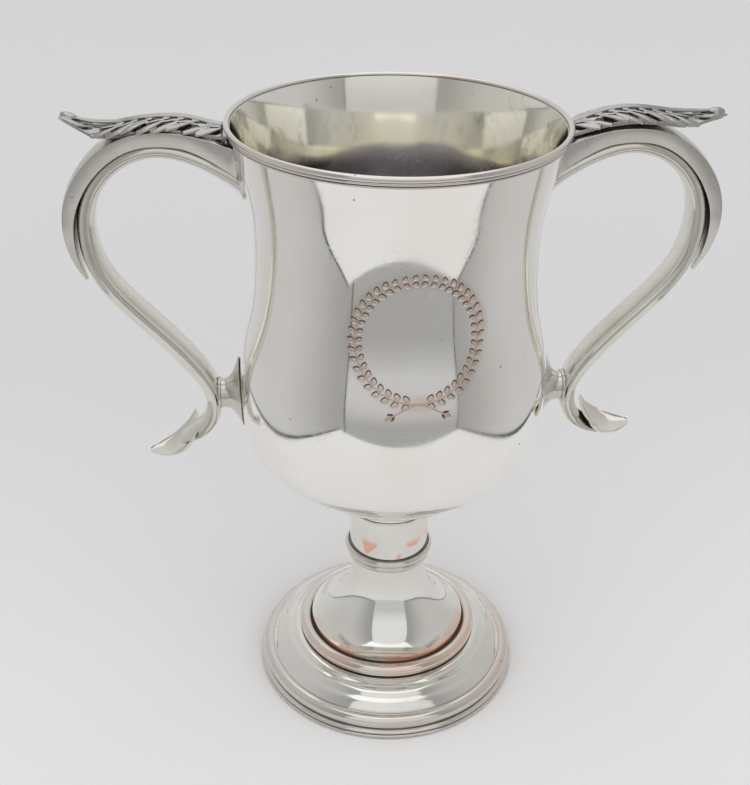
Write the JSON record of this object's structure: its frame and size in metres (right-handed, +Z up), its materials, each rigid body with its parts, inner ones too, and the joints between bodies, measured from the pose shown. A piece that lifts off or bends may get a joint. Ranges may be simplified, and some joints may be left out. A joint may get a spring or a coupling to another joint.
{
  "type": "cup trophy",
  "caption": "Two-handled silver-plated loving cup on a stem and moulded round foot, with scroll handles topped by leaf thumbpieces and an engraved laurel wreath.",
  "frame": {"origin": "centre of the ring the foot stands on, at table height, on the axis of the bowl", "axes": "+Z up along the bowl axis; +X through the right handle; -Y is the engraved front"},
  "size_m": [0.1976, 0.101, 0.2032],
  "materials": {
    "bowl_plate": "worn polished silver plate, warm tint inside",
    "wire_plate": "polished wire, dark in the grooves, copper showing on the crests",
    "foot_plate": "worn polished silver plate",
    "handle_plate": "worn polished silver plate",
    "leaf_plate": "cast relief, bright crests and oxidised recesses",
    "boss_plate": "polished, dark solder lines"
  },
  "bodies": {
    "root": {"boss_plate_left": "boss_plate", "boss_plate_right": "boss_plate", "boss_post_left": "boss_plate", "boss_post_right": "boss_plate", "bowl_flange": "wire_plate", "cup_body": "bowl_plate", "foot_dome": "foot_plate", "foot_rim_band": "wire_plate", "foot_skirt": "foot_plate", "foot_step_ring": "wire_plate", "joint_plate_left": "boss_plate", "joint_plate_right": "boss_plate", "knop_ring": "wire_plate", "rim_moulding": "wire_plate", "scroll_back_left": "handle_plate", "scroll_back_right": "handle_plate", "scroll_bar_left": "handle_plate", "scroll_bar_right": "handle_plate", "scroll_lip_left": "handle_plate", "scroll_lip_right": "handle_plate", "stem": "foot_plate", "thumb_leaf_left": "leaf_plate", "thumb_leaf_right": "leaf_plate"}
  },
  "joints": []
}
